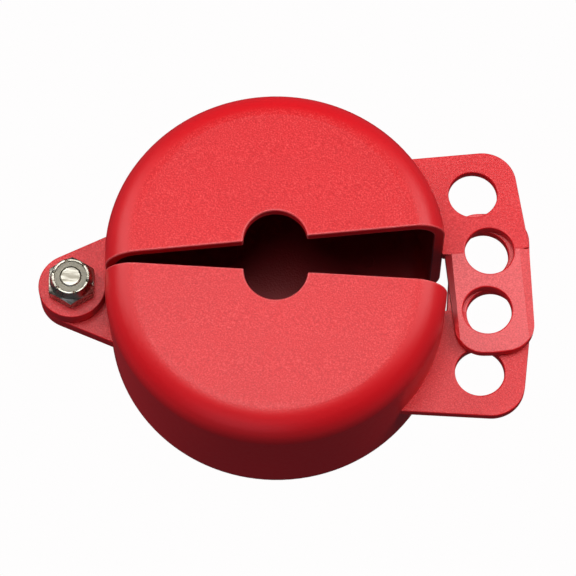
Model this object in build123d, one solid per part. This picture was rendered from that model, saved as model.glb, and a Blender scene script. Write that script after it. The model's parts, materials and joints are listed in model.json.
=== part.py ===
from build123d import *
from math import asin, cos, degrees, radians, sin, sqrt, tan
import os

# A clamshell lockout for a valve handwheel: two half drums that turn on one bolt and
# overlap in a hasp with three padlock holes. Millimetres and degrees.
# X runs from the hinge to the hasp along the lower half's split edge, Z is along the
# valve stem towards the open front. A half is drawn closed, on the +Y side, with the
# drum's centre at zero. The lower half is the same shape turned over about X, apart from
# its stem opening. The finished model's origin is in the front wall, on the stem's axis.

# drum
shell_radius = 38.0
shell_depth = 40.3        # across both faces, at the split
wall = 2.5
face_taper = 1.9          # each face falls away from the split
edge_radius = 7.4         # big rounding between face and side wall
stem_radius = 7.1         # opening in the front face only
split_gap = 0.2           # between the halves at the hinge, when closed
split_relief = 0.29       # each split edge leans back, so the padlock holes always meet
edge_break = 0.3          # small rounding of moulded rims

# hinge ears
hinge_reach = 8.0         # from the drum's side wall out to the hinge bolt
ear_thickness = 3.6
ear_slope = 20.0          # of the straight edge that joins the ear to the drum
ear_clearance = 0.35      # round end of an ear to the other half's side wall
plate_gap = 0.1           # between the overlapping plates of the two halves
bolt_running_gap = 0.05   # radial, bolt in ear

# hasp plates
hasp_thickness = 2.7      # at the split, thinning both ways
hasp_draft = 1.0          # slope of the outer face, down from the split
hasp_reach = 19.6         # from the drum's side wall out to the outer edge
hasp_height = 24.4        # from the split to each end
hasp_side_taper = 3.3     # outer edge leans in, from the split
root_corner = 7.7
tongue_clearance = 0.4    # tongue to the other half's side wall
tongue_lean = 0.8         # of the tongue's inner edge
tongue_corner = 6.5
tongue_crown = 1.4        # how far the tip bows out
bevel_depth = 0.6
inner_bevel = (1.5, 0.7)  # width at the split and at the tip
outer_bevel = (2.3, 1.3)

# padlock holes, on an arc about the drum's centre
padlock_radius = 5.55
padlock_pitch = 14.3
padlock_reach = 10.5      # from the drum's side wall out to the holes' arc
padlock_count = 3

# hinge bolt, lock nut and its nylon ring
bolt_radius = 3.0
bolt_length = 12.9        # under the head
bolt_chamfer = 0.9
head_height = 4.0
nut_height = 5.8
nut_hex_height = 3.3
thread_gap = 0.02         # radial, bolt in nut and nylon
nylon_wall = 0.6          # from the bolt to the nut's groove
nylon_lip = 0.35          # from the bolt's chamfered point to the ring's mouth
nylon_height = 1.4
rim_depth = 0.35          # the rim stands this far above the nylon
rim_lip = 0.4             # and is crimped this far in over it
rim_wall = 0.6
collar_flare = 0.4        # the collar's foot stands out from its rim
hex_shoulder = 0.4        # the flats stand out from the collar's foot
nick_count = 6
nick_angle = 46.5
nick_width = 0.55
hex_turn = 3.0            # how far a corner is turned from -Y
corner_chamfer = 30.0     # slope of the chamfer on hex corners
chamfer_reach = 0.95      # chamfer circle, as a share of the width across flats

# pose the part is modelled in
open_angle = 8.6          # one padlock hole from closed

# worked out
half_depth = shell_depth / 2
stem_seat_z = half_depth - wall / 2
hinge_x = -(shell_radius + hinge_reach)
ear_radius = hinge_reach - ear_clearance
padlock_arc = shell_radius + padlock_reach
padlock_step = degrees(2 * asin(padlock_pitch / 2 / padlock_arc))
hasp_edge = shell_radius + hasp_reach
hasp_lean = tan(radians(hasp_side_taper))
plate_floor = plate_gap / 2
ear_top = plate_floor + ear_thickness
nut_top = ear_top + nut_height
nylon_top = nut_top - rim_depth
bolt_end = bolt_length - ear_top
bolt_point_radius = bolt_radius - bolt_chamfer
nylon_radius = bolt_radius + nylon_wall
rim_radius = nylon_radius + rim_wall
collar_radius = rim_radius + collar_flare
hex_width = 2 * (collar_radius + hex_shoulder)
overrun = 10.0            # how far cutting tools reach past what they cut


def drum_block(radius, half, rounding):
    """Solid drum that runs a little past the split, with tapered faces and rounded edges."""
    drop = tan(radians(face_taper))
    reach = radius + overrun
    near = half + overrun * drop
    far = half - reach * drop
    outline = Polyline((-overrun, near), (reach, far), (reach, -far), (-overrun, -near), close=True)
    slab = extrude(Plane.YZ * make_face(outline), reach, both=True)
    drum = slab & Rotation(0, 0, -90) * Cylinder(radius, 2 * near)
    arcs = drum.edges().filter_by(GeomType.LINE, reverse=True)
    return fillet(arcs, rounding)


def own_side():
    """Everything on the half's own side of the split."""
    size = 4 * shell_radius
    block = Pos(0, (size + split_gap) / 2, 0) * Box(2 * size, size, size)
    return Pos(hinge_x, 0, 0) * Rotation(0, 0, split_relief) * block


def plate(outline, thickness):
    """Plate of one half, its flat face just clear of the other half's plates."""
    return Pos(0, 0, plate_floor) * extrude(outline, thickness)


def edges_where(solid, test):
    """Edges of a solid whose middle point passes the test."""
    return ShapeList([edge for edge in solid.edges() if test(edge @ 0.5)])


def broken_rims(solid, test):
    """Solid with its moulded rims, the level edges that pass the test, slightly rounded."""
    level = edges_where(solid, test).filter_by(lambda edge: abs((edge % 0.5).Z) < 0.5)
    return fillet(level, edge_break)


def off_split(point):
    """Distance of a point from the half's split faces."""
    reach = point.X - hinge_x
    return abs(point.Y - split_gap / 2 - reach * tan(radians(split_relief)))


def split_drum(front):
    """Hollow half drum, open at the split, its stem opening towards front, 1 up or -1 down."""
    drum = drum_block(shell_radius, half_depth, edge_radius) - cavity()
    drum -= Pos(0, 0, front * half_depth) * Cylinder(stem_radius, half_depth)
    drum = drum & own_side()
    split_rims = edges_where(drum, lambda p: off_split(p) < edge_break / 2)
    stem_rims = edges_where(drum, lambda p: 0.9 * stem_radius < p.Y < 1.01 * stem_radius)
    return fillet(split_rims + stem_rims, edge_break)


def cavity():
    return drum_block(shell_radius - wall, half_depth - wall, edge_radius - wall)


def ear():
    """Rounded lug on the hinge bolt, with a straight edge that runs into the drum."""
    slope = radians(ear_slope)
    along = Vector(cos(slope), sin(slope))
    tangent = Vector(hinge_x, 0) + ear_radius * Vector(-sin(slope), cos(slope))
    mid_wall = shell_radius - wall / 2
    lead = -tangent.dot(along)
    length = lead - sqrt(lead**2 - tangent.length**2 + mid_wall**2)
    corners = [(hinge_x, 0), tangent, tangent + length * along, (-mid_wall, 0)]
    web = plate(make_face(Polyline(*corners, close=True)), ear_thickness) & own_side()
    lug = web + plate(Pos(hinge_x, 0) * Circle(ear_radius), ear_thickness)
    lug -= Pos(hinge_x, 0, 0) * Cylinder(bolt_radius + bolt_running_gap, shell_depth)
    return broken_rims(lug, lambda p: p.X < -shell_radius and abs(p.Y) > split_gap)


def hasp_wedge():
    """Room for the hasp plates: flat inside, thinning outside both ways from the split."""
    reach = hasp_height + overrun
    peak = plate_floor + hasp_thickness
    low = peak - reach * tan(radians(hasp_draft))
    section = [(-reach, plate_floor), (reach, plate_floor), (reach, low), (0, peak), (-reach, low)]
    return extrude(Plane.YZ * make_face(Polyline(*section, close=True)), 2 * hasp_edge, both=True)


def hasp_plate(outline):
    """Drafted and drilled plate with rounded rims, sharp where it meets its other part."""
    blank = plate(outline, hasp_thickness + overrun) & hasp_wedge()
    for x, y in padlock_places():
        blank -= Pos(x, y, 0) * Cylinder(padlock_radius, shell_depth)
    outside = shell_radius + tongue_clearance - edge_break
    return broken_rims(blank, lambda p: abs(p.Y) > edge_break and Vector(p.X, p.Y).length > outside)


def hasp_root():
    """Plate that stands out of the half's own side wall."""
    mid_wall = shell_radius - wall / 2
    corner = (hasp_edge - hasp_height * hasp_lean, hasp_height)
    in_wall = (sqrt(mid_wall**2 - hasp_height**2), hasp_height)
    foot = [(mid_wall, wall), (shell_radius, 0), (hasp_edge, 0)]
    outline = make_face(Polyline(*foot, corner, in_wall, close=True))
    outline = fillet(outline.vertices().sort_by_distance(corner)[0], root_corner)
    return hasp_plate(outline) - cavity()


def tongue_edge(y):
    """Place of the tongue's inner edge at a distance below the split."""
    return shell_radius + tongue_clearance + abs(y) * tan(radians(tongue_lean))


def bevel_cut(edges, widths):
    """Wedge over one long edge of the tongue, wider at the split than at the tip."""
    peak = plate_floor + hasp_thickness
    tip_peak = peak - hasp_height * tan(radians(hasp_draft))
    start = Vector(edges[0] + widths[0], 0, peak)
    finish = Vector(edges[1] + widths[1], -hasp_height, tip_peak)
    outer = Vector(edges[0], 0, peak - bevel_depth)
    normal = (finish - start).cross(outer - start)
    if normal.Z < 0:
        normal = -normal
    plane = Plane(origin=start, x_dir=finish - start, z_dir=normal)
    block = plane * Box(6 * hasp_height, hasp_reach, overrun, align=(Align.CENTER, Align.CENTER, Align.MIN))
    below = Pos(hasp_edge, -hasp_height, 0) * Box(2 * hasp_edge, 2 * hasp_height, 4 * overrun)
    return block & below


def hasp_tongue():
    """Plate that reaches over the other half's root."""
    side_y = -(hasp_height - tongue_crown)
    inner_low = (tongue_edge(side_y), side_y)
    outer_low = (hasp_edge + side_y * hasp_lean, side_y)
    crown = ((inner_low[0] + outer_low[0]) / 2, -hasp_height)
    sides = Polyline(inner_low, (tongue_edge(0), 0), (hasp_edge, 0), outer_low)
    outline = make_face([sides, ThreePointArc(outer_low, crown, inner_low)])
    corners = ShapeList([outline.vertices().sort_by_distance(p)[0] for p in (inner_low, outer_low)])
    tongue = hasp_plate(fillet(corners, tongue_corner))
    tip_edges = (tongue_edge(hasp_height), hasp_edge - hasp_height * hasp_lean)
    tongue -= bevel_cut((tongue_edge(0), tip_edges[0]), inner_bevel)
    tongue -= bevel_cut((hasp_edge, tip_edges[1]), [-width for width in outer_bevel])
    return tongue


def padlock_places():
    """Centres of the padlock holes, evenly round an arc about the drum's centre."""
    middle = (padlock_count - 1) / 2
    angles = [radians((index - middle) * padlock_step) for index in range(padlock_count)]
    return [(padlock_arc * cos(angle), padlock_arc * sin(angle)) for angle in angles]


def closed_half(front):
    """One moulded half, closed, on the +Y side."""
    return split_drum(front) + ear() + hasp_root() + hasp_tongue()


def hexagon(height, both_ends):
    """Hexagonal bar from z=0 up, its corners chamfered."""
    bar = extrude(RegularPolygon(hex_width / 2, 6, major_radius=False, rotation=30 + hex_turn), height)
    bearing = chamfer_reach * hex_width / 2
    rise = (hex_width - bearing) * tan(radians(corner_chamfer))
    top = height + rise
    outline = Polyline((0, 0), (bearing, 0), (hex_width, rise), (hex_width, top), (0, top), close=True)
    cone = revolve(Plane.XZ * make_face(outline), Axis.Z)
    bar = bar & cone
    if both_ends:
        bar = bar & Pos(0, 0, height) * Rotation(180, 0, 0) * cone
    return bar


def hinge_bolt():
    """Hex bolt, head under the lower ear, its end just below the nut's rim."""
    head = hexagon(head_height, False)
    shank = Cylinder(bolt_radius, bolt_length, align=(Align.CENTER, Align.CENTER, Align.MIN))
    shank = chamfer(shank.edges().sort_by(Axis.Z)[-1], bolt_chamfer)
    return Pos(hinge_x, 0, -ear_top - head_height) * head + Pos(hinge_x, 0, -ear_top) * shank


def nick(angle):
    """Notch across the nut's rim."""
    notch = Pos(rim_radius, 0, nut_height) * Rotation(45, 0, 0) * Box(4 * rim_wall, nick_width, nick_width)
    return Rotation(0, 0, angle) * notch


def lock_nut():
    """Hexagon nut with a collar that is crimped over the nylon ring."""
    crimp = rim_wall / 2
    shoulder = [(0, 0), (collar_radius, 0), (collar_radius, nut_hex_height)]
    lip = [(rim_radius, nut_height - crimp), (rim_radius - crimp, nut_height), (0, nut_height)]
    collar = revolve(Plane.XZ * make_face(Polyline(*shoulder, *lip, close=True)), Axis.Z)
    rim = collar.edges().filter_by_position(Axis.Z, nut_height - rim_wall, nut_height)
    nut = hexagon(nut_hex_height, True) + fillet(rim.filter_by(GeomType.CIRCLE), crimp / 2)
    nut -= Pos(0, 0, nut_height - rim_depth - nylon_height / 2) * Cylinder(nylon_radius, nylon_height)
    nut -= Pos(0, 0, nut_height) * Cylinder(nylon_radius - rim_lip, 2 * (rim_depth + nick_width / 4))
    nut -= Cylinder(bolt_radius + thread_gap, 2 * overrun)
    for index in range(nick_count):
        nut -= nick(nick_angle + index * 360 / nick_count)
    return Pos(hinge_x, 0, ear_top) * nut


def nylon_insert():
    """Nylon ring in the nut's collar, formed over the bolt's chamfered end."""
    ring = Cylinder(nylon_radius - thread_gap, nylon_height)
    ring -= Cylinder(bolt_point_radius + nylon_lip, nylon_height)
    room = Cylinder(bolt_radius + thread_gap, bolt_length, align=(Align.CENTER, Align.CENTER, Align.MAX))
    room = chamfer(room.edges().sort_by(Axis.Z)[-1], bolt_chamfer)
    ring = Pos(hinge_x, 0, nylon_top - nylon_height / 2) * ring
    return ring - Pos(hinge_x, 0, bolt_end + thread_gap) * room


def main():
    hinge = Axis((hinge_x, 0, 0), (0, 0, 1))
    pieces = {
        "lower_shell": Rotation(180, 0, 0) * closed_half(-1),
        "upper_shell": closed_half(1).rotate(hinge, open_angle),
        "hinge_bolt": hinge_bolt(),
        "lock_nut": lock_nut(),
        "nylon_insert": nylon_insert(),
    }
    os.makedirs("parts", exist_ok=True)
    for name, piece in pieces.items():
        export_step(Pos(0, 0, -stem_seat_z) * piece, f"parts/{name}.step")


main()
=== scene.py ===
import json
from math import cos, pi, radians, sin, tan

import bmesh
import bpy
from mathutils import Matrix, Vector


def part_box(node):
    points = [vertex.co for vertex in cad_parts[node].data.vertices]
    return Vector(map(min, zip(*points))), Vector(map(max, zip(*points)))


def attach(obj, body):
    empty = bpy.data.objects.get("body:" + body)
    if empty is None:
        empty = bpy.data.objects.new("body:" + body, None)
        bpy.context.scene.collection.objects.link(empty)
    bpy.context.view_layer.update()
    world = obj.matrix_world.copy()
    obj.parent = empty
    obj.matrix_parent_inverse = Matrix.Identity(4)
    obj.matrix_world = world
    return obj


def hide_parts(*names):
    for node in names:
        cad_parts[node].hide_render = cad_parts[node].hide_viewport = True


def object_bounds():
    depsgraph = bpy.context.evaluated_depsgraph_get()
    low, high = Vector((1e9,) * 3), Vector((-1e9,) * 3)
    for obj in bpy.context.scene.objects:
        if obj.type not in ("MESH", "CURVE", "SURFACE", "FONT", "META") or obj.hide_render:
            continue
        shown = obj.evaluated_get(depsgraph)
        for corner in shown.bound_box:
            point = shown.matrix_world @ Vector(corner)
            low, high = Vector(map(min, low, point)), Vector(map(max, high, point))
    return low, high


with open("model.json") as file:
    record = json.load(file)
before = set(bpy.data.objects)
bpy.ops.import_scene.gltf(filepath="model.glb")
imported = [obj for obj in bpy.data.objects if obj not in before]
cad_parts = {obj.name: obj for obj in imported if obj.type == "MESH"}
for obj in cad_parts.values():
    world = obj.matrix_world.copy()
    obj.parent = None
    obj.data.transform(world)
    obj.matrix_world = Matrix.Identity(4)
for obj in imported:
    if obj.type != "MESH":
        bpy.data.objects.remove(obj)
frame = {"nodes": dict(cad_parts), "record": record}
cad_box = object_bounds()

# ---------------------------------------------------------------- sizes and places, from the frame

MM = 0.001
wall = 2.5 * MM
lower_low, lower_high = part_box("lower_shell")
nut_low, nut_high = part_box("lock_nut")
hinge = (nut_low + nut_high) / 2
plate_level = (lower_low.z + lower_high.z) / 2      # where ears and hasp plates of the two halves meet
half_depth = lower_high.z - plate_level
drum_radius = -lower_low.y
closed_at = radians(frame["record"]["behaviour"]["joints"][0]["range_deg"][0])
opened = -closed_at         # how far the upper half stands open at rest

SHELLS = ("lower_shell", "upper_shell")
BODY = {"lower_shell": "lower", "upper_shell": "upper"}
SPLIT_ALONG = {"lower_shell": Vector((1, 0, 0)), "upper_shell": Vector((cos(opened), sin(opened), 0))}
SPLIT_NORMAL = {"lower_shell": Vector((0, -1, 0)), "upper_shell": Vector((-sin(opened), cos(opened), 0))}
hinge_on_plates = Vector((hinge.x, hinge.y, plate_level))
DRUM_CENTRE = {shell: hinge_on_plates - SPLIT_ALONG[shell] * hinge.x for shell in SHELLS}


# ---------------------------------------------------------------- materials

def linear(hex_colour):
    """sRGB hex to the linear colour that shaders work in."""
    channels = [int(hex_colour[i:i + 2], 16) / 255 for i in (1, 3, 5)]
    return [c / 12.92 if c <= 0.04045 else ((c + 0.055) / 1.055) ** 2.4 for c in channels] + [1.0]


def add(material, kind, settings=(), links=()):
    """Adds a node. Settings go by name, or into a socket by name or number; a link comes from a socket, or
    from a node's first output."""
    node = material.node_tree.nodes.new(kind)
    for name, value in dict(settings).items():
        if isinstance(name, str) and hasattr(node, name):
            setattr(node, name, value)
        else:
            node.inputs[name].default_value = value
    for name, source in dict(links).items():
        material.node_tree.links.new(getattr(source, "outputs", [source])[0], node.inputs[name])
    return node


def new_material(name):
    """A node material with no nodes yet."""
    material = bpy.data.materials.new(name)
    material.use_nodes = True
    material.node_tree.nodes.clear()
    return material


def moulded_polypropylene(name, split_normal, drum_centre):
    """Polypropylene, injection moulded: flat faces carry the spark-eroded grain of the mould and look paler,
    the polished corner roundings and side walls look wetter and deeper. Painted light is laid over it: the
    ears and hasp plates take a paler red as painted sheen and the tongue the palest, the grain's pale specks
    are painted sheen, the drum's sharp rims show a pale line of painted highlight, and the walls inside the
    drum take a darker red as painted shade."""
    grit_size = 0.35 * MM       # a coarse spark finish, drawn about twice its size so that it shows
    pit_spacing = 1.3 * grit_size
    relief_height = 0.08 * MM
    fleck_size = 1.1 * MM       # clusters of grit that catch the light together
    flow_size = 22 * MM         # slow change of shade as the melt filled the mould
    rim_width = 0.45 * MM
    plate_reach = half_depth - 8 * MM       # ears and hasp plates lie within this of their level
    plate_edge = 5 * MM                     # the drum's rims carry a painted highlight outside this
    hasp_start = 40 * MM                    # from the hinge
    # the third colour, a paler red for the ears and hasp plates, is painted sheen
    polished, grained, plate_sheen_red = linear("#cf0f19"), linear("#d8161d"), linear("#dc272c")
    # next a paler red still for the tongue, painted sheen, and a pale pink for painted highlights on the
    # drum's rims and painted sheen in the grain
    tongue_sheen_red, highlight_pink = linear("#e8585a"), linear("#f2aaa8")
    cavity_shade_red = linear("#93181d")      # darker red for the walls inside the drum: painted shade
    material = new_material(name)
    coordinates = add(material, "ShaderNodeTexCoord")
    geometry = add(material, "ShaderNodeNewGeometry")
    place, facing = coordinates.outputs["Object"], coordinates.outputs["Normal"]

    # level: 1 where a face lies flat and 0 where it stands upright. A truly flat face takes its own normal,
    # so that it isn't shaded like the rounding next to it.
    true_rise = add(material, "ShaderNodeSeparateXYZ", links={0: geometry.outputs["True Normal"]})
    true_level = add(material, "ShaderNodeMath", {"operation": "ABSOLUTE"}, {0: true_rise.outputs["Z"]})
    dead_flat = add(material, "ShaderNodeMapRange", {"From Min": 0.9996, "From Max": 0.9999},
                    {"Value": true_level})
    normal = add(material, "ShaderNodeMix", {"data_type": "VECTOR"},
                 {0: dead_flat, 4: geometry.outputs["Normal"], 5: geometry.outputs["True Normal"]}).outputs[1]
    rise = add(material, "ShaderNodeSeparateXYZ", links={0: normal}).outputs["Z"]
    level = add(material, "ShaderNodeMath", {"operation": "ABSOLUTE"}, {0: rise})

    # plate: ears and hasp plates, and their bevels up to about 25 degrees
    inward = add(material, "ShaderNodeVectorMath", {"operation": "SUBTRACT", 0: drum_centre}, {1: place})
    height = add(material, "ShaderNodeSeparateXYZ", links={0: inward}).outputs["Z"]
    depth = add(material, "ShaderNodeMath", {"operation": "ABSOLUTE"}, {0: height})
    lying = add(material, "ShaderNodeMapRange", {"From Min": 0.88, "From Max": 0.92}, {"Value": level})
    plate_depth = add(material, "ShaderNodeMapRange", {"From Min": plate_reach, "From Max": plate_reach - MM},
                      {"Value": depth})
    plate = add(material, "ShaderNodeMath", {"operation": "MULTIPLY"}, {0: lying, 1: plate_depth})

    # flat: the plates and the drum's two faces
    face = add(material, "ShaderNodeMapRange",
               {"interpolation_type": "SMOOTHSTEP", "From Min": 0.93, "From Max": 0.995}, {"Value": level})
    flat = add(material, "ShaderNodeMath", {"operation": "MAXIMUM"}, {0: face, 1: plate})

    # tongue: the part of the hasp plate that reaches past the split
    from_hinge = add(material, "ShaderNodeVectorMath", {"operation": "SUBTRACT", 1: hinge}, {0: place})
    past_split = add(material, "ShaderNodeVectorMath", {"operation": "DOT_PRODUCT", 1: split_normal},
                     {0: from_hinge}).outputs["Value"]
    over_split = add(material, "ShaderNodeMapRange", {"From Min": 0.08 * MM, "From Max": -0.08 * MM},
                     {"Value": past_split})
    reach = add(material, "ShaderNodeVectorMath", {"operation": "LENGTH"}, {0: from_hinge}).outputs["Value"]
    at_hasp = add(material, "ShaderNodeMapRange", {"From Min": hasp_start, "From Max": hasp_start + MM},
                  {"Value": reach})
    tongue_top = add(material, "ShaderNodeMapRange", {"From Min": 0.97, "From Max": 0.995}, {"Value": level})
    hasp_plate = add(material, "ShaderNodeMath", {"operation": "MULTIPLY"}, {0: plate_depth, 1: at_hasp})
    hasp_tongue = add(material, "ShaderNodeMath", {"operation": "MULTIPLY"}, {0: over_split, 1: hasp_plate})
    tongue = add(material, "ShaderNodeMath", {"operation": "MULTIPLY"}, {0: tongue_top, 1: hasp_tongue})

    # cavity: walls inside the drum, which face its centre and are painted darker as painted shade
    to_centre = add(material, "ShaderNodeVectorMath", {"operation": "DOT_PRODUCT"},
                    {0: inward, 1: facing}).outputs["Value"]
    faces_in = add(material, "ShaderNodeMapRange", {"From Min": 1 * MM, "From Max": 3 * MM},
                   {"Value": to_centre})
    from_centre = add(material, "ShaderNodeVectorMath", {"operation": "LENGTH"}, {0: inward}).outputs["Value"]
    in_drum = add(material, "ShaderNodeMapRange",
                  {"From Min": drum_radius + 2 * wall, "From Max": drum_radius + 2 * wall - MM},
                  {"Value": from_centre})
    in_hollow = add(material, "ShaderNodeMapRange",
                    {"From Min": half_depth - 0.90 * wall, "From Max": half_depth - 0.96 * wall},
                    {"Value": depth})
    inner_wall = add(material, "ShaderNodeMath", {"operation": "MULTIPLY"}, {0: faces_in, 1: in_drum})
    cavity_shade = add(material, "ShaderNodeMath", {"operation": "MULTIPLY"}, {0: in_hollow, 1: inner_wall})

    # rim: the drum's sharp edges, where rounding the surface would turn it, which carry a pale painted
    # highlight
    rounded = add(material, "ShaderNodeBevel", {"samples": 6, "Radius": rim_width})
    turned = add(material, "ShaderNodeVectorMath", {"operation": "DOT_PRODUCT"},
                 {0: rounded, 1: geometry.outputs["Normal"]}).outputs["Value"]
    sharp = add(material, "ShaderNodeMapRange", {"From Min": 0.995, "From Max": 0.95}, {"Value": turned})
    off_plate = add(material, "ShaderNodeMapRange", {"From Min": plate_edge, "From Max": plate_edge + MM},
                    {"Value": depth})
    rim = add(material, "ShaderNodeMath", {"operation": "MULTIPLY"}, {0: sharp, 1: off_plate})

    # the grain of the mould
    grit = add(material, "ShaderNodeTexNoise", {"Scale": 1 / grit_size, "Detail": 2.0, "Roughness": 0.6},
               {"Vector": place})
    fleck = add(material, "ShaderNodeTexNoise", {"Scale": 1 / fleck_size, "Detail": 3.0, "Roughness": 0.7},
                {"Vector": place})
    flow = add(material, "ShaderNodeTexNoise", {"Scale": 1 / flow_size, "Detail": 2.0, "Roughness": 0.45},
               {"Vector": place})
    pits = add(material, "ShaderNodeTexVoronoi", {"Scale": 1 / pit_spacing}, {"Vector": place})
    relief = add(material, "ShaderNodeMath", {"operation": "MULTIPLY_ADD", 1: 0.6}, {0: pits, 2: grit})
    coarseness = add(material, "ShaderNodeMapRange", {"To Min": 0.08, "To Max": 0.5}, {"Value": flat})
    bump = add(material, "ShaderNodeBump", {"Distance": relief_height},
               {"Height": relief, "Strength": coarseness, "Normal": normal})

    # its colour, region over region
    shade = add(material, "ShaderNodeMix", {"data_type": "RGBA", 6: polished, 7: grained},
                {0: flat}).outputs[2]
    # the ears and hasp plates take a paler red: painted sheen
    shade = add(material, "ShaderNodeMix", {"data_type": "RGBA", 7: plate_sheen_red},
                {0: plate, 6: shade}).outputs[2]
    # the tongue takes a paler red still: painted sheen
    shade = add(material, "ShaderNodeMix", {"data_type": "RGBA", 7: tongue_sheen_red},
                {0: tongue, 6: shade}).outputs[2]
    # pale specks of painted sheen in the grain of the flat faces
    grit_sheen = add(material, "ShaderNodeMapRange", {"From Min": 0.5, "From Max": 0.75, "To Max": 0.13},
                      {"Value": grit})
    painted_grit_sheen = add(material, "ShaderNodeMath", {"operation": "MULTIPLY"}, {0: grit_sheen, 1: flat})
    shade = add(material, "ShaderNodeMix", {"data_type": "RGBA", 7: highlight_pink},
                {0: painted_grit_sheen, 6: shade}).outputs[2]
    # a pale line of painted highlight on the drum's sharp rims, in patches
    highlight_patches = add(material, "ShaderNodeMapRange",
               {"From Min": 0.3, "From Max": 0.7, "To Min": 0.5, "To Max": 0.95}, {"Value": fleck})
    rim_highlight = add(material, "ShaderNodeMath", {"operation": "MULTIPLY"}, {0: rim, 1: highlight_patches})
    shade = add(material, "ShaderNodeMix", {"data_type": "RGBA", 7: highlight_pink},
                {0: rim_highlight, 6: shade}).outputs[2]
    drift = add(material, "ShaderNodeMapRange",
                {"From Min": 0.3, "From Max": 0.7, "To Min": 0.94, "To Max": 1.0}, {"Value": flow})
    shade = add(material, "ShaderNodeMix", {"data_type": "RGBA", "blend_type": "MULTIPLY", 0: 1.0},
                {6: shade, 7: drift}).outputs[2]
    dark_grit = add(material, "ShaderNodeMapRange",
                    {"From Min": 0.3, "From Max": 0.6, "To Min": 0.74, "To Max": 1.0}, {"Value": grit})
    shade = add(material, "ShaderNodeMix", {"data_type": "RGBA", "blend_type": "MULTIPLY"},
                {0: flat, 6: shade, 7: dark_grit}).outputs[2]
    # the walls inside the drum take a darker red: painted shade
    shade = add(material, "ShaderNodeMix", {"data_type": "RGBA", 7: cavity_shade_red},
                {0: cavity_shade, 6: shade}).outputs[2]
    dullness = add(material, "ShaderNodeMapRange", {"To Min": 0.34, "To Max": 0.3}, {"Value": flat})
    roughness = add(material, "ShaderNodeMath", {"operation": "MULTIPLY_ADD", 1: 0.14},
                    {0: fleck, 2: dullness})
    plastic = add(material, "ShaderNodeBsdfPrincipled", {"IOR": 1.49, "Specular IOR Level": 0.38},
                  {"Base Color": shade, "Roughness": roughness, "Normal": bump})
    add(material, "ShaderNodeOutputMaterial", links={"Surface": plastic})
    return material


def worked_stainless(name, bright_hex, dull_hex, smoothest, roughest, mark_size):
    """Stainless steel, cut and tumbled: rings from the cutting tool and fine slanting scratches
    break up a bright, slightly warm reflection."""
    ring_step = 0.35 * MM               # the tool's feed
    ring_scale = pi / 10 / ring_step    # a wave texture has one ring in pi / 10 at a scale of 1
    relief_height = 0.02 * MM
    material = new_material(name)
    place = add(material, "ShaderNodeTexCoord").outputs["Object"]
    centred = add(material, "ShaderNodeVectorMath", {"operation": "SUBTRACT", 1: hinge}, {0: place})
    rings = add(material, "ShaderNodeTexWave", {"wave_type": "RINGS", "rings_direction": "Z",
                "Scale": ring_scale, "Distortion": 1.2, "Detail": 2.0}, {"Vector": centred})
    slanted = add(material, "ShaderNodeMapping", {"Rotation": (0.2, 0.1, -0.75), "Scale": (0.16, 1.0, 0.5)},
                  {"Vector": centred})
    marks = add(material, "ShaderNodeTexNoise", {"Scale": 1 / mark_size, "Detail": 5.0, "Roughness": 0.6},
                {"Vector": slanted})
    relief = add(material, "ShaderNodeMath", {"operation": "MULTIPLY_ADD", 1: 0.35}, {0: rings, 2: marks})
    bump = add(material, "ShaderNodeBump", {"Distance": relief_height, "Strength": 0.16}, {"Height": relief})
    roughness = add(material, "ShaderNodeMapRange", {"To Min": smoothest, "To Max": roughest},
                    {"Value": marks})
    shine = add(material, "ShaderNodeMapRange", {"From Min": 0.38, "From Max": 0.58}, {"Value": marks})
    tint = add(material, "ShaderNodeMix",
               {"data_type": "RGBA", 6: linear(dull_hex), 7: linear(bright_hex)}, {0: shine}).outputs[2]
    steel = add(material, "ShaderNodeBsdfPrincipled", {"Metallic": 1.0},
                {"Base Color": tint, "Roughness": roughness, "Normal": bump})
    add(material, "ShaderNodeOutputMaterial", links={"Surface": steel})
    return material


def moulded_nylon():
    """Nylon 6, moulded natural: milky, faintly green-grey, with light passing a little way in."""
    cloud_size, relief_height = 1.2 * MM, 0.03 * MM
    light_reach = (0.4 * MM, 0.4 * MM, 0.3 * MM)
    material = new_material("moulded_nylon")
    place = add(material, "ShaderNodeTexCoord").outputs["Object"]
    cloud = add(material, "ShaderNodeTexNoise", {"Scale": 1 / cloud_size, "Detail": 3.0}, {"Vector": place})
    milk = add(material, "ShaderNodeMapRange", {"From Min": 0.3, "From Max": 0.7}, {"Value": cloud})
    tint = add(material, "ShaderNodeMix",
               {"data_type": "RGBA", 6: linear("#7b7767"), 7: linear("#918b78")}, {0: milk}).outputs[2]
    bump = add(material, "ShaderNodeBump", {"Distance": relief_height, "Strength": 0.3}, {"Height": cloud})
    nylon = add(material, "ShaderNodeBsdfPrincipled",
                {"IOR": 1.53, "Roughness": 0.42, "Subsurface Weight": 0.15, "Subsurface Radius": light_reach,
                 "Subsurface Scale": 1.0}, {"Base Color": tint, "Normal": bump})
    add(material, "ShaderNodeOutputMaterial", links={"Surface": nylon})
    return material


def dress(node, material):
    """Gives a CAD node one material."""
    mesh = frame["nodes"][node].data
    mesh.materials.clear()
    mesh.materials.append(material)


polypropylene = {}
for shell in SHELLS:
    polypropylene[shell] = moulded_polypropylene("moulded_polypropylene_" + BODY[shell], SPLIT_NORMAL[shell],
                                                  DRUM_CENTRE[shell])
    dress(shell, polypropylene[shell])
bolt_steel = worked_stainless("turned_stainless_steel", "#c2beb2", "#7d786c", 0.24, 0.42, 0.9 * MM)
dress("hinge_bolt", bolt_steel)
nut_steel = worked_stainless("forged_stainless_steel", "#b5b1a4", "#827d70", 0.22, 0.34, 0.5 * MM)
dress("nylon_insert", moulded_nylon())


# ---------------------------------------------------------------- making solids

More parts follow.
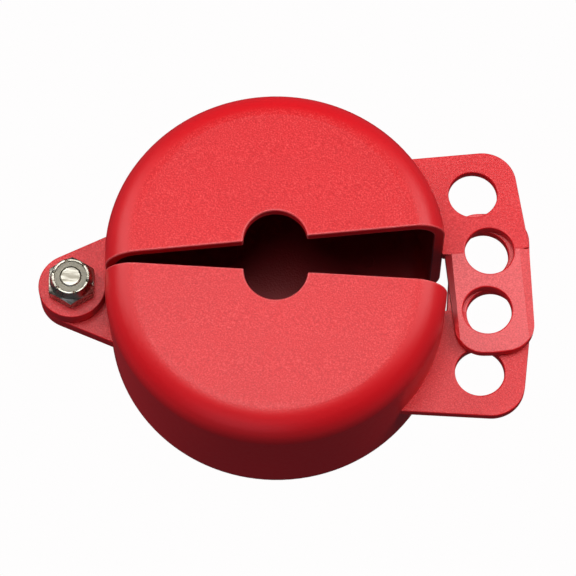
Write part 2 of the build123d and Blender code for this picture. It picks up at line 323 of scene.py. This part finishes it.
def skin(name, material, loops, ring=False):
    """A solid through a row of loops of points: capped at both ends, or closed into a ring."""
    count = len(loops[0])
    last = (len(loops) - 1) * count
    faces = [] if ring else [tuple(range(count))[::-1], tuple(last + i for i in range(count))]
    for row in range(len(loops) - (not ring)):
        here = row * count
        there = (row + 1) % len(loops) * count
        for i in range(count):
            j = (i + 1) % count
            faces.append((here + i, here + j, there + j, there + i))
    mesh = bpy.data.meshes.new(name)
    mesh.from_pydata([point for loop in loops for point in loop], [], faces)
    mesh.materials.append(material)
    for face in mesh.polygons:
        face.use_smooth = len(face.vertices) == 4
    piece = bpy.data.objects.new(name, mesh)
    bpy.context.scene.collection.objects.link(piece)
    return piece


def face_outward(mesh):
    """Turns every face of a closed mesh outward."""
    work = bmesh.new()
    work.from_mesh(mesh)
    bmesh.ops.recalc_face_normals(work, faces=work.faces)
    work.to_mesh(mesh)
    work.free()


def merged(pieces):
    """Joins loose pieces into one mesh object."""
    work = bmesh.new()
    for piece in pieces:
        work.from_mesh(piece.data)
    work.to_mesh(pieces[0].data)
    work.free()
    for piece in pieces[1:]:
        bpy.data.objects.remove(piece)
    return pieces[0]


# ---------------------------------------------------------------- marks that moulding leaves on the shells

def on_shell(shell, start, side):
    """Place and outward normal where the vertical from start first meets the shell: side 1 is a surface that
    faces up, -1 one that faces down."""
    found, place, normal, _ = frame["nodes"][shell].ray_cast(start, Vector((0, 0, -side)))
    return (place, normal) if found else None


def ridge(shell, start, end, width, height):
    """Thin raised line on the top of a shell's plate from start to end, with its foot sunk in the plate."""
    across = (end - start).normalized().cross(Vector((0, 0, 1)))
    section = ((-0.5, -0.4), (-0.5, 0.0), (-0.22, 0.8), (0.0, 1.0), (0.22, 0.8), (0.5, 0.0), (0.5, -0.4))
    steps = 24
    loops = []
    for step in range(steps + 1):
        hit = on_shell(shell, start.lerp(end, step / steps), 1)
        if hit:
            loops.append([hit[0] + across * x * width + hit[1] * y * height for x, y in section])
    return skin("line", polypropylene[shell], loops)


def round_mark(shell, start, side, profile):
    """Round mark on a shell, turned from a profile of (radius, height) in mm."""
    place, normal = on_shell(shell, start, side)
    east = normal.cross(Vector((0, 1, 0))).normalized()
    north = normal.cross(east)
    steps = 40
    turns = [2 * pi * step / steps for step in range(steps)]
    return skin("mark", polypropylene[shell], [
        [place + ((east * cos(turn) + north * sin(turn)) * radius + normal * height) * MM for turn in turns]
        for radius, height in profile])


def finished(piece, name, shell):
    """Names a piece that already wears its shell's material, and makes it ride with its shell."""
    piece.name = piece.data.name = name
    face_outward(piece.data)
    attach(piece, BODY[shell])


# The mould leaves a raised line where the root and the tongue of a hasp plate meet, which is in line with the
# split: from the drum to the middle padlock hole, and on from there to the plate's end.
mounts = {mount["name"]: mount for mount in frame["record"]["mounts"]}
hole_radius = mounts["upper_padlock_middle"]["dims"]["r_mm"] * MM
line_width, line_height = 0.22 * MM, 0.035 * MM
off_drum, off_hole = 0.2 * MM, 0.35 * MM
plate_past_hole = 3.3 * MM
above_hinge = hinge_on_plates + Vector((0, 0, 5 * MM))
below_back = Vector((0, 0, lower_low.z - plate_level - 5 * MM))

# The melt went in at a gate on the closed back: a broken nub in a shallow ring.
gate_from_split = 14 * MM
gate_mark = ((0.1, 0.16), (0.35, 0.14), (0.5, 0.02), (0.9, 0.02), (1.05, 0.06), (1.2, -0.1), (0.1, -0.1))

# Four ejector pins push on each flat wall from inside, and each leaves a faint ring round a disc.
pin_places = ((-22, 8), (22, 8), (-11, 25), (11, 25))       # mm along the split and from it
pin_radius, pin_ring, pin_height, pin_sunk = 1.6, 0.12, 0.08, 0.3
pin_mark = ((0.3 * pin_radius, 0.3 * pin_height), (pin_radius - 2 * pin_ring, 0.3 * pin_height),
            (pin_radius - pin_ring, pin_height), (pin_radius, pin_height),
            (pin_radius + pin_ring, -pin_sunk), (0.3 * pin_radius, -pin_sunk))

for shell in SHELLS:
    along, outward = SPLIT_ALONG[shell], SPLIT_NORMAL[shell]
    middle = (Vector(mounts[BODY[shell] + "_padlock_middle"]["pos_m"]) - hinge_on_plates).dot(along)
    before_hole = (drum_radius - hinge.x + off_drum, middle - hole_radius - off_hole)
    past_hole = (middle + hole_radius + off_hole, middle + hole_radius + plate_past_hole)
    lines = [ridge(shell, above_hinge + along * start, above_hinge + along * end, line_width, line_height)
             for start, end in (before_hole, past_hole)]
    finished(merged(lines), BODY[shell] + "_parting_line", shell)
    gate = DRUM_CENTRE[shell] + outward * gate_from_split + below_back
    finished(round_mark(shell, gate, -1, gate_mark), BODY[shell] + "_gate_mark", shell)
    pins = [round_mark(shell, DRUM_CENTRE[shell] + along * x * MM + outward * y * MM, side, pin_mark)
            for side in (1, -1) for x, y in pin_places]
    finished(merged(pins), BODY[shell] + "_ejector_marks", shell)


# ---------------------------------------------------------------- lock nut

def crimped_nut():
    """Chamfered hexagon nut, whose thin collar is rolled over at the top and nicked six times where it
    grips the nylon."""
    across_flats, hex_height = 10 * MM, 3.3 * MM
    bore, seat, rim, foot = 3.02 * MM, 3.6 * MM, 4.25 * MM, 4.75 * MM      # radii, from the bolt outward
    seat_depth = 1.75 * MM
    foot_fillet, foot_slope, foot_rise = 0.1 * MM, 0.3 * MM, 1.2 * MM
    roll = 0.17 * MM
    corner, nick = -87, 48      # degrees from +X to one corner and to one nick
    side_turn = 60              # and from each to the next
    steps = 240
    nick_depth, nick_half_width = 0.34 * MM, 4.5        # the width in degrees
    burr = 0.2                  # metal pushed up beside a nick, as a share of its depth
    chamfer_angle, chamfer_steps, roll_steps = radians(30), 6, 4
    top = nut_high.z - nut_low.z
    flat_radius = across_flats / 2
    face_radius = 0.97 * flat_radius            # where the chamfer starts
    chamfer_width = flat_radius / cos(radians(side_turn / 2)) - face_radius

    chamfer = [(face_radius + chamfer_width * k / chamfer_steps,
                chamfer_width * tan(chamfer_angle) * k / chamfer_steps) for k in range(chamfer_steps + 1)]
    hexagon = chamfer + [(radius, hex_height - z) for radius, z in chamfer[::-1]]
    collar = [(foot + foot_fillet, hex_height), (foot, hex_height + foot_fillet),
              (foot - foot_slope, hex_height + foot_rise)]
    quarter = [pi / 2 * k / roll_steps for k in range(roll_steps + 1)]
    rolled = [(rim - roll + roll * cos(a), top - roll + roll * sin(a)) for a in quarter]
    rolled += [(seat + roll - roll * sin(a), top - roll + roll * cos(a)) for a in quarter]
    inside = [(seat, top - seat_depth), (bore, top - seat_depth), (bore, 0)]
    outside = len(hexagon + collar + rolled)
    nicked_from = top - 3 * roll                # nicks fade out downward to here

    loops = []
    for number, (radius, z) in enumerate(hexagon + collar + rolled + inside):
        nicked = max(0, (z - nicked_from) / (3 * roll)) if number < outside else 0
        loop = []
        for step in range(steps):
            turn = corner + 360 / steps * step
            reach = radius
            if number < len(hexagon):
                from_middle = (turn - corner) % side_turn - side_turn / 2
                reach = min(radius, flat_radius / cos(radians(from_middle)))
            off_nick = abs((turn - nick + side_turn / 2) % side_turn - side_turn / 2) / nick_half_width
            groove = max(0, 1 - off_nick)
            beside = max(0, 1 - 2 * abs(off_nick - 1.5))
            lift = nick_depth * (burr * beside - groove) * nicked
            loop.append(Vector((hinge.x + reach * cos(radians(turn)), hinge.y + reach * sin(radians(turn)),
                                nut_low.z + z + lift)))
        loops.append(loop)

    nut = skin("crimped_lock_nut", nut_steel, loops, ring=True)
    face_outward(nut.data)
    nut.data.set_sharp_from_angle(angle=radians(28))
    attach(nut, "lower")
    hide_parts("lock_nut")


crimped_nut()


# ---------------------------------------------------------------- floor, light and camera

def floor_sheet():
    """White painted board under the object, evenly lit."""
    half, gap = 3.0, 0.05 * MM
    corners = [(x * half, y * half, cad_box[0].z - gap) for x, y in ((-1, -1), (1, -1), (1, 1), (-1, 1))]
    material = new_material("painted_board")
    evenly_lit = add(material, "ShaderNodeEmission", {"Color": linear("#fefdfd"), "Strength": 1.0})
    add(material, "ShaderNodeOutputMaterial", links={"Surface": evenly_lit})
    mesh = bpy.data.meshes.new("floor")
    mesh.from_pydata(corners, [], [(0, 1, 2, 3)])
    mesh.materials.append(material)
    floor = bpy.data.objects.new("floor", mesh)
    bpy.context.scene.collection.objects.link(floor)
    floor.visible_diffuse = floor.visible_glossy = False


def soft_box(name, place, side, watts, colour="#ffffff"):
    """A square soft box that faces the object."""
    light = bpy.data.lights.new(name, "AREA")
    light.shape, light.size, light.size_y = "RECTANGLE", side, side
    light.energy, light.color = watts, linear(colour)[:3]
    holder = bpy.data.objects.new(name, light)
    holder.location = place
    holder.rotation_euler = (-Vector(place)).to_track_quat("-Z", "Y").to_euler()
    holder.visible_camera = False
    bpy.context.scene.collection.objects.link(holder)


def studio():
    """Dim room with a lighter band below the horizon, where a table would send light back up."""
    world = bpy.data.worlds.new("studio")
    world.use_nodes = True
    direction = add(world, "ShaderNodeTexCoord").outputs["Generated"]
    rise = add(world, "ShaderNodeSeparateXYZ", links={0: direction}).outputs["Z"]
    below_sky = add(world, "ShaderNodeMapRange", {"From Min": 0.16, "From Max": -0.06}, {"Value": rise})
    above_floor = add(world, "ShaderNodeMapRange", {"From Min": -0.74, "From Max": -0.52}, {"Value": rise})
    band = add(world, "ShaderNodeMath", {"operation": "MULTIPLY"}, {0: below_sky, 1: above_floor})
    glow = add(world, "ShaderNodeMix", {"data_type": "RGBA", 6: linear("#3a3c42"), 7: linear("#64676e")},
               {0: band}).outputs[2]
    background = world.node_tree.nodes["Background"]
    world.node_tree.links.new(glow, background.inputs["Color"])
    background.inputs["Strength"].default_value = 1.0
    bpy.context.scene.world = world


def viewer():
    """Camera on a long lens, a little in front of straight above."""
    camera = bpy.data.cameras.new("camera")
    camera.lens, camera.sensor_width = 185.55, 36
    camera.clip_start, camera.clip_end = 0.01, 20
    holder = bpy.data.objects.new("camera", camera)
    holder.location = (0.0188, -0.2423, 0.6056)
    holder.rotation_euler = (radians(21.53), radians(0.20), radians(3.31))
    bpy.context.scene.collection.objects.link(holder)
    bpy.context.scene.camera = holder


floor_sheet()
soft_box("overhead_box", (-0.08, 0.08, 1.0), 0.6, 5.8)
soft_box("left_box", (-0.95, 0.45, 0.75), 0.9, 8.9)
soft_box("right_box", (0.85, 0.50, 0.80), 0.9, 11.6)
soft_box("front_fill", (-0.30, -1.2, 0.55), 1.0, 2.6, "#e4e9ff")
studio()
bpy.context.scene.view_settings.view_transform = "Standard"
viewer()
